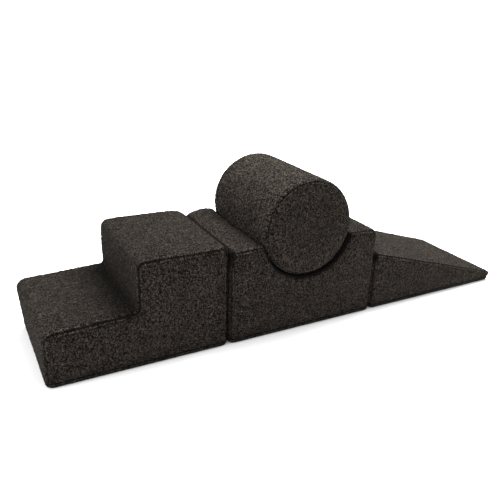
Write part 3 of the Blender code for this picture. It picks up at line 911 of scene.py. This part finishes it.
class Skin:
    """A closed skin being built: points with traits for the pile tree, and faces."""

    def __init__(self):
        self.points = []
        self.traits = []
        self.faces = []

    def row(self, points, traits):
        """Adds a row of points. A trait is (pile, room, crease and painted shade). Returns the
        row's numbers.
        """
        first = len(self.points)
        self.points += points
        self.traits += traits
        return list(range(first, len(self.points)))

    def settle(self, places):
        """Shifts the points so far near the places where the cover is uneven."""
        self.points = [tuple(settled(Vector(point), places)) for point in self.points]

    def points_of(self, row):
        return [self.points[number] for number in row]

    def bare_row(self, points):
        return self.row(points, [(0.0, 0.0, 0.0)] * len(points))

    def strip(self, row, following, closed):
        for i in range(0 if closed else 1, len(row)):
            self.faces.append((row[i - 1], row[i], following[i], following[i - 1]))

    def mesh(self, name):
        mesh = bpy.data.meshes.new(name)
        mesh.from_pydata(self.points, [], self.faces)
        for number, trait in enumerate(("pile", "room", "crease_and_painted_shade")):
            layer = mesh.attributes.new(trait, "FLOAT", "POINT")
            layer.data.foreach_set("value", [values[number] for values in self.traits])
        bm = bmesh.new()
        bm.from_mesh(mesh)
        bmesh.ops.recalc_face_normals(bm, faces=bm.faces)
        if bm.calc_volume(signed=True) < 0:
            bmesh.ops.reverse_faces(bm, faces=bm.faces)
        bm.to_mesh(mesh)
        bm.free()
        return mesh


def base_crease(z, floor_seam):
    return groove(z - BASE_SEAM) if floor_seam else 0.0


def point_at(spot, inset, y):
    return (spot.x - spot.out_x * inset, y, spot.z - spot.out_z * inset)


def crease_trait(depth):
    return min(1.0, depth / SEAM_DEPTH)


def traits_at(crease_and_painted_shade, room, shade=0.0):
    """A point's traits for the pile: flatter in a crease, and painted shade there, added to the
    shade painted at joints and corners.
    """
    return 1 - CREASE_FLATTENS * crease_and_painted_shade, room, min(1.0, crease_and_painted_shade + shade)


def wrap_stations(spots, half_depth):
    """The wrap's rows from front to back, as shares of its half width, denser on its rims."""
    edge = SEAM_BEHIND + SEWN_GAP
    widest = max(spot.rim for spot in spots)
    half_width = half_depth - edge
    rim = [1 - (widest - edge) * step / RIM_ROWS / half_width for step in range(RIM_ROWS)]
    flat = (half_depth - widest) / half_width
    count = count_of(2 * (half_depth - widest))
    middle = [flat * (2 * step / count - 1) for step in range(count + 1)]
    return [-share for share in rim] + middle + rim[::-1]


def wrap_row(spots, share, half_depth, middle, closed):
    """Points and traits of one row of a wrap, at this share of its half width."""
    half_width = half_depth - SEAM_BEHIND - SEWN_GAP
    side = math.copysign(1, share)
    from_seam = half_width * (1 - abs(share))
    fade = max(0.0, 1 - from_seam / SEAM_WAVE_REACH)
    points, traits = [], []
    for spot in spots:
        pull = pulled(spot, side, closed)
        sunk = max(groove(from_seam) * pull, base_crease(spot.z, not closed))
        inset = drawn_in(spot.rim, half_depth - abs(share) * half_width)
        y = share * half_width + unsteady(spot.x, spot.z, side) * fade + middle
        points.append(point_at(spot, inset + sunk - spot.crown * (1 - share**2), y))
        # Beside the seam the ridge also lightens the colour, a painted highlight
        crease_and_painted_shade = crease_trait(sunk) - ridge(from_seam) * pull
        traits.append(traits_at(crease_and_painted_shade, spot.room, spot.shade))
    return points, traits


def wrap_skin(spots, half_depth, middle, places=(), closed=False):
    """The wrap: its outer side from the front seam to the back seam, and a plain lining."""
    skin = Skin()
    rows = []
    for share in wrap_stations(spots, half_depth):
        rows.append(skin.row(*wrap_row(spots, share, half_depth, middle, closed)))
    skin.settle(places)
    for row, following in zip(rows, rows[1:]):
        skin.strip(row, following, closed)
    linings = []
    for side, row in ((-1, rows[0]), (1, rows[-1])):
        y = side * (half_depth - COVER - SEWN_GAP) + middle
        lining = skin.bare_row([point_at(spot, COVER, y) for spot in spots])
        skin.strip(row, lining, closed)
        linings.append(lining)
    skin.strip(linings[0], linings[1], closed)
    if not closed:
        for end in (0, -1):
            skin.faces.append([row[end] for row in rows] + [linings[1][end], linings[0][end]])
    return skin


def filled(outline):
    """Even triangles within a closed outline of (x, z) points, as (points, triangles)."""
    tree = kdtree.KDTree(len(outline))
    for number, (x, z) in enumerate(outline):
        tree.insert((x, z, 0), number)
    tree.balance()
    xs, zs = [x for x, _ in outline], [z for _, z in outline]
    inner = []
    rows = int((max(zs) - min(zs)) / (PITCH * FILL_ROW))
    for row in range(1, rows + 1):
        z = min(zs) + row * PITCH * FILL_ROW
        x = min(xs) + PITCH * (0.5 if row % 2 else 1.0)
        while x < max(xs):
            if tree.find((x, z, 0))[2] > FILL_CLEAR * PITCH:
                inner.append((x, z))
            x += PITCH
    edges = [(i, (i + 1) % len(outline)) for i in range(len(outline))]
    places = [Vector(place) for place in outline + inner]
    return geometry.delaunay_2d_cdt(places, edges, [], 1, FILL_MERGE), tree


def panel_row(spots, step, half_depth, middle, side, closed):
    """Points and traits of one row of a front or back cover's rim, from the seam to the face."""
    points, traits = [], []
    for spot in spots:
        start = seam_angle(spot)
        angle = start + (math.pi / 2 - start) * step / LIP_ROWS
        inset, behind = rim_inset(spot, angle)
        behind = behind if step else SEAM_BEHIND
        from_seam = spot.rim * (angle - start)
        pull = pulled(spot, side, closed)
        pressed = pull * (groove(from_seam) + lip_crease(from_seam, spot.x, spot.z, side))
        sunk = max(pressed, base_crease(spot.z, not closed))
        wave = unsteady(spot.x, spot.z, side) * max(0.0, 1 - from_seam / SEAM_WAVE_REACH)
        y = side * (half_depth - behind - sunk * math.sin(angle)) + wave + middle
        points.append(point_at(spot, inset + sunk * math.cos(angle), y))
        crease_and_painted_shade = crease_trait(sunk) - ridge(from_seam) * pull
        room = spot.room + (1 - spot.room) * step / LIP_ROWS
        # The painted shade fades across the rim from the seam
        shade = spot.shade * max(0.0, 1 - from_seam / SHADE_REACH)
        traits.append(traits_at(crease_and_painted_shade, room, shade))
    if not closed:
        first, last = Vector(points[0]), Vector(points[-1])
        tail = count_of(spots[-1].x - spots[0].x)
        points += [tuple(last.lerp(first, part / tail)) for part in range(1, tail)]
        traits += [TAIL_TRAITS] * (tail - 1)
    return points, traits


def panel_skin(spots, half_depth, middle, side, places=(), closed=False):
    """A front or back cover: its rounded rim from the seam, its swollen face, its plain lining."""
    skin = Skin()
    rows = []
    for step in range(LIP_ROWS + 1):
        rows.append(skin.row(*panel_row(spots, step, half_depth, middle, side, closed)))
    for row, following in zip(rows, rows[1:]):
        skin.strip(row, following, True)
    y = side * (half_depth - COVER) + middle
    lining = skin.bare_row([(x, y, z) for x, _, z in skin.points_of(rows[0])])
    skin.strip(rows[0], lining, True)
    skin.faces.append(lining[::-1])
    outline = [(x, z) for x, _, z in skin.points_of(rows[-1])]
    (flat, _, triangles, *_), tree = filled(outline)
    numbers = list(rows[-1])
    for place in flat[len(outline) :]:
        inside = min(1.0, tree.find((place.x, place.y, 0))[2] / CROWN_RISE)
        low = base_crease(place.y, not closed)
        y = side * (half_depth + CROWN * (1 - (1 - inside) ** 2) - low) + middle
        numbers += skin.row([(place.x, y, place.y)], [traits_at(crease_trait(low), FREE)])
    skin.faces += [[numbers[corner] for corner in triangle] for triangle in triangles]
    skin.settle(places)
    return skin


def lip_crease(from_seam, x, z, side):
    """The broken second crease that the seam allowance presses beside a seam."""
    depth = LIP_CREASE_DEPTH * min(LIP_MOST, max(0.0, drifted(LIP_SHARE, x, z, side)))
    reach = drifted(LIP_REACH, z, x, side)
    return depth * math.exp(-(((from_seam - reach) / LIP_CREASE_WIDTH) ** 2))


def ring(block, inset_x, inset_y, z, corner):
    """A rounded rectangle round a block's base, as points."""
    left, right = block.left + inset_x + corner, block.right - inset_x - corner
    half = block.half_depth - inset_y
    front, back = block.middle - half + corner, block.middle + half - corner
    along, across = count_of(block.right - block.left), count_of(2 * block.half_depth)
    corners = [
        (right, front, -90, across),
        (right, back, 0, along),
        (left, back, 90, across),
        (left, front, 180, along),
    ]
    arcs = []
    for x, y, angle, _ in corners:
        turns = [angle + 90 * step / RING_STEPS for step in range(RING_STEPS + 1)]
        spread = [(math.cos(math.radians(turn)), math.sin(math.radians(turn))) for turn in turns]
        arcs.append([Vector((x + corner * over, y + corner * up, z)) for over, up in spread])
    points = []
    for number, bent in enumerate(arcs):
        count, aim = corners[number][3], arcs[(number + 1) % len(arcs)][0]
        points += bent + [bent[-1].lerp(aim, step / count) for step in range(1, count)]
    return [tuple(point) for point in points]


def tray_skin(block):
    """The base tray: a fleece band that rounds under, and the cloth underside sewn inside it."""
    skin = Skin()
    rows = []
    top = BASE_SEAM - SEWN_GAP / 2
    levels = [top - BAND_PITCH * step for step in range(BAND_ROWS)]
    levels += [FOOT_RADIUS * (1 - math.sin(math.radians(turn))) for turn in TUCK_TURNS]
    for z in levels:
        low = groove(z - BASE_SEAM)
        under = max(0.0, FOOT_RADIUS - z)
        end = FOOT_RADIUS - math.sqrt(FOOT_RADIUS**2 - under**2)
        side = end * FOOT_TUCK / FOOT_RADIUS
        points = ring(block, end + low, side + low, z, FOOT_RIM - side * TUCK_CORNER_LOSS)
        pile, room, crease_and_painted_shade = traits_at(crease_trait(low), TRAY_ROOM)
        traits = (pile * min(1.0, z / FOOT_RADIUS), room, crease_and_painted_shade)
        rows.append(skin.row(points, [traits] * len(points)))
    for inset, z in TRAY_CLOTH_RINGS:
        rows.append(skin.bare_row(ring(block, inset, inset, z, TRAY_CLOTH_CORNER)))
    for row, following in zip(rows, rows[1:]):
        skin.strip(row, following, True)
    skin.faces.append(rows[-1])
    lip = skin.bare_row(ring(block, COVER, COVER, top, TRAY_WELL_CORNER))
    well = skin.bare_row(ring(block, COVER, COVER, COVER, TRAY_WELL_CORNER))
    skin.strip(rows[0], lip, True)
    skin.strip(lip, well, True)
    skin.faces.append(well[::-1])
    return skin


# Covers


def fleece_piece(name, skin, pile, body, node, cutter=None):
    """One cover of curly fleece, in place of its plain solid."""
    values = {**PILE_INPUTS, "Material": pile.material}
    piece = grown(name, skin.mesh(name), pile.tree, values, cutter)
    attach(piece, body)
    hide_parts(node)
    return piece


def turned_towards(outward, along):
    """The turn that takes local Z outward and local X along."""
    outward, along = Vector(outward), Vector(along)
    across = outward.cross(along)
    return Matrix((along, across, outward)).transposed().to_4x4()


def zip_frame(name):
    """A zip's middle on the underside of its tape, its turn and its length."""
    low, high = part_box(name + "_zip")
    if name == "roller":
        out = (math.cos(ROLLER_ZIP_ANGLE), 0, math.sin(ROLLER_ZIP_ANGLE))
        turn = turned_towards(out, (0, 1, 0))
        axis, radius = roller_axis_and_radius()
        out = turn.to_3x3() @ Vector((0, 0, 1))
        return axis + out * (radius - COVER), turn, high.y - low.y
    turn = turned_towards((0, 1, 0), (1, 0, 0))
    return Vector(((low.x + high.x) / 2, low.y, (low.z + high.z) / 2)), turn, high.x - low.x


def zip_slot(name):
    """A box that cuts a zip's slot through a cover."""
    middle, turn, length = zip_frame(name)
    play = 2 * SEWN_GAP
    sizes = Matrix.Diagonal((length + play, TAPE_WIDTH + play, 4 * COVER, 1))
    bm = bmesh.new()
    bmesh.ops.create_cube(bm, size=1)
    bm.transform(Matrix.Translation(middle) @ turn @ sizes)
    return new_object(name + "_slot", mesh_of(name + "_slot", bm))


def dress_block(block, spots, places, pile, materials):
    name, half, middle = block.name, block.half_depth, block.middle
    wrap = wrap_skin(spots, half, middle, places)
    fleece_piece(name + "_fleece_wrap", wrap, pile, name, name + "_wrap_cover")
    for side, which in ((-1, "front"), (1, "back")):
        panel = panel_skin(spots, half, middle, side, places)
        cutter = zip_slot(name) if which == "back" else None
        node = f"{name}_{which}_cover"
        fleece_piece(f"{name}_fleece_{which}", panel, pile, name, node, cutter)
    tray, node = tray_skin(block), name + "_base_cover"
    tray = fleece_piece(name + "_base_tray", tray, pile, name, node)
    tray.data.materials.append(materials["base_cloth"])
    for face in tray.data.polygons:
        place = face.center
        within = block.left + TRAY_CLOTH_EDGE < place.x < block.right - TRAY_CLOTH_EDGE
        if within and abs(place.y - middle) < half - TRAY_CLOTH_EDGE:
            face.material_index = 1


def roller_axis_and_radius():
    low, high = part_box("roller_wrap_cover")
    return (low + high) / 2, (high.z - low.z) / 2


def dress_roller(tree, materials):
    """The roller's covers. Its rim is walked round in the blocks' direction."""
    axis, radius = roller_axis_and_radius()
    low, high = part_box("roller_foam_core")
    half = (high.y - low.y) / 2 + COVER + SEWN_GAP
    rooms = (PRESSED, PRESSED)
    spots = arc((axis.x, axis.z), radius, math.pi, -math.pi, ROLLER_RIM, rooms)[:-1]
    wrap = wrap_skin(spots, half, axis.y, closed=True)
    pile, cutter = Pile(tree, materials["roller_fleece"]), zip_slot("roller")
    fleece_piece("roller_fleece_wrap", wrap, pile, "roller", "roller_wrap_cover", cutter)
    pile = Pile(tree, materials["fleece"])
    for side, which in ((-1, "front"), (1, "back")):
        disc = panel_skin(spots, half, axis.y, side, closed=True)
        name, node = f"roller_fleece_{which}", f"roller_{which}_disc"
        fleece_piece(name, disc, pile, "roller", node)


def dress_core(name, places, material):
    """The foam core, its wire cuts' edges a little worn, squeezed where its cover draws in."""
    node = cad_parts[name + "_foam_core"]
    low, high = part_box(node.name)
    middle = (low + high) / 2
    squeezes = [place for place in places if place[1].dot(middle - place[0]) > 0]
    bm = bmesh.new()
    bm.from_mesh(node.data)
    bmesh.ops.remove_doubles(bm, verts=bm.verts, dist=CORE_MERGE)
    bmesh.ops.dissolve_limit(bm, angle_limit=CORE_FLAT, verts=bm.verts, edges=bm.edges)
    for vertex in bm.verts:
        vertex.co = settled(vertex.co, squeezes)
    piece = new_object(name + "_cut_foam", mesh_of(name + "_core", bm))
    wear = piece.modifiers.new("worn_edges", "BEVEL")
    wear.width = CORE_WEAR
    wear.segments = CORE_WEAR_STEPS
    wear.limit_method = "ANGLE"
    piece.data.materials.append(material)
    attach(piece, name)
    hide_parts(node.name)


# Zips


def boxes_mesh(name, boxes):
    """A mesh of separate boxes, given by their lowest and highest corners."""
    bm = bmesh.new()
    for low, high in boxes:
        low, high = Vector(low), Vector(high)
        made = bmesh.ops.create_cube(bm, size=1)["verts"]
        scale = Matrix.Diagonal((*(high - low), 1))
        bmesh.ops.transform(bm, matrix=Matrix.Translation((low + high) / 2) @ scale, verts=made)
    return mesh_of(name, bm)


def lofted_mesh(name, rows):
    """A closed skin through rows of points, with a face over each end."""
    bm = bmesh.new()
    rows = [[bm.verts.new(point) for point in row] for row in rows]
    for row, following in zip(rows, rows[1:]):
        for i in range(len(row)):
            bm.faces.new((row[i - 1], row[i], following[i], following[i - 1]))
    bm.faces.new(rows[0])
    bm.faces.new(rows[-1])
    bmesh.ops.recalc_face_normals(bm, faces=bm.faces)
    return mesh_of(name, bm)


def profile_mesh(name, outline, start, end):
    """A closed (y, z) outline run along X."""
    return lofted_mesh(name, [[(x, y, z) for y, z in outline] for x in (start, end)])


def row_tree():
    """Repeats a shape along X, and the same turned about for the other side."""
    inputs = {"Count": "Int", "Pitch": "Float", "Stagger": "Float"}
    tree, maker, given = new_tree("row_of_copies", inputs)
    joined_rows = maker.add("GeometryNodeJoinGeometry")
    for turn in (0.0, math.pi):
        stagger = given["Stagger"] * (0.0 if turn else 1.0)
        first = stagger - given["Count"] * given["Pitch"] * 0.5
        start = maker.add("ShaderNodeCombineXYZ", {"X": first})["Vector"]
        step = maker.add("ShaderNodeCombineXYZ", {"X": given["Pitch"]})["Vector"]
        inputs = {"Count": given["Count"], "Start Location": start, "Offset": step}
        line = maker.add("GeometryNodeMeshLine", inputs)["Mesh"]
        inputs = {"Points": line, "Instance": given["Geometry"], "Rotation": (0.0, 0.0, turn)}
        copies = maker.add("GeometryNodeInstanceOnPoints", inputs)["Instances"]
        tree.links.new(copies.socket, joined_rows.node.inputs["Geometry"])
    finish_tree(maker, joined_rows["Geometry"], given["Material"])
    return tree


def zip_piece(name, mesh, body, placed, material):
    """A piece of a zip, put where the zip's frame is."""
    mesh.materials.append(material)
    mesh.transform(placed)
    piece = new_object(name, mesh)
    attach(piece, body)
    return piece


def tape_outline(side):
    """One tape's cross-section: thin cloth with a cord along its inner edge, under the teeth."""
    inner, edge, thick = TAPE_SPLIT / 2, TAPE_WIDTH / 2, TAPE_THICKNESS
    chain, cord_top = CHAIN_WIDTH / 2, TAPE_THICKNESS * CORD_RISE
    points = [
        (inner, 0),
        (edge, 0),
        (edge, thick * TAPE_EDGE_RISE),
        (edge - TAPE_EDGE, thick),
        (chain + CORD_OUTSIDE, thick),
        (chain - CORD_INSIDE, cord_top),
        (inner + TAPE_EDGE, cord_top),
        (inner, thick),
    ]
    return [(side * y, z) for y, z in points]


def tooth_mesh(name):
    """A moulded tooth: a foot clamped on its tape and a head that reaches past the middle."""
    half, reach, wide = TOOTH_LENGTH / 2, TOOTH_REACH, CHAIN_WIDTH / 2
    base, top = TAPE_THICKNESS * TOOTH_SEAT, TAPE_THICKNESS + CHAIN_HEIGHT - TOOTH_BELOW
    foot, head = (wide, base + TOOTH_SLOPE), (wide - TOOTH_SLOPE, top)
    outline = [(-reach, base), (wide, base), foot, head, (-reach, top)]
    return profile_mesh(name, outline, -half, half)


def stitch_mesh(name):
    """One lock stitch: a short length of thread that dips at both ends."""
    rows = []
    for share, lift in STITCH_STATIONS:
        height = TAPE_THICKNESS + THREAD * (lift - STITCH_SUNK)
        place = Vector((share * STITCH_LENGTH, STITCH_LINE, height))
        turns = [step * 2 * math.pi / THREAD_SIDES for step in range(THREAD_SIDES)]
        rows.append([place + Vector((0, math.cos(t), math.sin(t))) * THREAD for t in turns])
    return lofted_mesh(name, rows)


def dress_zip(name, tree, materials):
    """Tapes, teeth, stops and stitching, in place of the zip's plain solid."""
    middle, turn, length = zip_frame(name)
    placed = Matrix.Translation(middle) @ turn
    for side, which in ((1, "upper"), (-1, "lower")):
        tape = f"{name}_zip_tape_{which}"
        mesh = profile_mesh(tape, tape_outline(side), -length / 2, length / 2)
        piece = zip_piece(tape, mesh, name, placed, materials["tape"])
        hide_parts(name + "_zip")
    chain = length - 2 * (TAPE_TAIL + STOP_LENGTH)
    sewn = length - STITCH_ENDS
    for what, shape, span, pitch, stagger, finish, slot in (
        ("teeth", tooth_mesh, chain, TOOTH_PITCH, TOOTH_PITCH / 2, "teeth", "zip_metal"),
        ("stitches", stitch_mesh, sewn, STITCH_PITCH, 0.0, "thread", "zip_tape"),
    ):
        values = {"Count": round(span / pitch), "Pitch": pitch, "Stagger": stagger}
        values["Material"] = materials[finish]
        row = grown(f"{name}_zip_{what}", shape(f"{name}_{what}"), tree, values)
        row.data.transform(placed)
        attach(row, name)
    stops = []
    half, top = STOP_WIDTH / 2, TAPE_THICKNESS + STOP_HEIGHT
    for end in (-1, 1):
        low, high = sorted((end * chain / 2, end * (chain / 2 + STOP_LENGTH)))
        stops.append(((low, -half, STOP_FOOT), (high, half, top)))
    mesh = boxes_mesh(name + "_zip_stops", stops)
    piece = zip_piece(name + "_zip_stops", mesh, name, placed, materials["metal"])
    soften = piece.modifiers.new("soft_edges", "BEVEL")
    soften.width = STOP_SOFTNESS
    soften.segments = 2
    for part in ("slider", "pull"):
        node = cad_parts[f"{name}_zip_{part}"]
        node.data.materials.clear()
        node.data.materials.append(materials["metal"])


# Stage


def soft_light(name, place, size, energy):
    """A square softbox that faces the middle of the floor."""
    data = bpy.data.lights.new(name, "AREA")
    data.shape = "SQUARE"
    data.size = size
    data.energy = energy
    light = new_object(name, data)
    light.location = place
    light.rotation_euler = (-Vector(place)).to_track_quat("-Z", "Y").to_euler()


def set_stage():
    bm = bmesh.new()
    bmesh.ops.create_grid(bm, x_segments=1, y_segments=1, size=FLOOR_HALF)
    floor = new_object("studio_floor", mesh_of("studio_floor", bm))
    material, _, shader = new_material("pale_floor", Roughness=0.9, Specular_IOR_Level=0.1)
    shader.inputs["Base Color"].default_value = (*FLOOR_COLOUR, 1.0)
    floor.data.materials.append(material)
    world = bpy.data.worlds.new("studio")
    world.use_nodes = True
    sky = world.node_tree.nodes["Background"]
    sky.inputs["Color"].default_value = (1.0, 1.0, 1.0, 1.0)
    sky.inputs["Strength"].default_value = SKY_STRENGTH
    bpy.context.scene.world = world
    bpy.context.scene.view_settings.view_transform = "Standard"
    for name, (place, size, energy) in SOFTBOXES.items():
        soft_light(name, place, size, energy)


def set_camera():
    data = bpy.data.cameras.new("photograph")
    data.lens = CAMERA_LENS
    data.sensor_width = CAMERA_SENSOR
    data.shift_x, data.shift_y = CAMERA_SHIFT
    camera = new_object("photograph", data)
    camera.location = CAMERA_PLACE
    camera.rotation_euler = CAMERA_TURN
    bpy.context.scene.camera = camera


def main():
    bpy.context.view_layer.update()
    set_camera()
    set_stage()
    materials = {
        "fleece": fleece_material("curly_fleece", FOLD_SIZE, FOLD_PAINTED_SHADE),
        # The roller's wrap: bigger curls with more painted shade between them
        "roller_fleece": fleece_material("curlier_fleece", ROLLER_FOLD_SIZE, ROLLER_FOLD_PAINTED_SHADE),
        "base_cloth": base_cloth_material(),
        "foam": foam_material(),
        "tape": tape_material(),
        "thread": thread_material(),
        "teeth": teeth_material(),
        "metal": zip_metal_material(),
    }
    tree, rows = pile_tree(), row_tree()
    pile = Pile(tree, materials["fleece"])
    _, roller_radius = roller_axis_and_radius()
    steps, cradle, ramp = Block("steps"), Block("cradle"), Block("ramp")
    places = {
        "steps": steps_uneven(steps),
        "cradle": cradle_uneven(cradle),
        "ramp": ramp_uneven(ramp),
        "roller": [],
    }
    dress_block(steps, steps_outline(steps), places["steps"], pile, materials)
    dress_block(cradle, cradle_outline(cradle, roller_radius), places["cradle"], pile, materials)
    dress_block(ramp, ramp_outline(ramp), places["ramp"], pile, materials)
    dress_roller(tree, materials)
    for name, uneven_places in places.items():
        dress_core(name, uneven_places, materials["foam"])
        dress_zip(name, rows, materials)


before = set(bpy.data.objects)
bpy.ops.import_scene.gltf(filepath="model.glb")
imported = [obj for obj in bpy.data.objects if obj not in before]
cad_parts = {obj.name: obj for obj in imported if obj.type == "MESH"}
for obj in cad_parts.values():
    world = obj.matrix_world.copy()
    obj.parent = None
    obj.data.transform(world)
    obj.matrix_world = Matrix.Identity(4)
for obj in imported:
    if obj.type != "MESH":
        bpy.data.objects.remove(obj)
main()
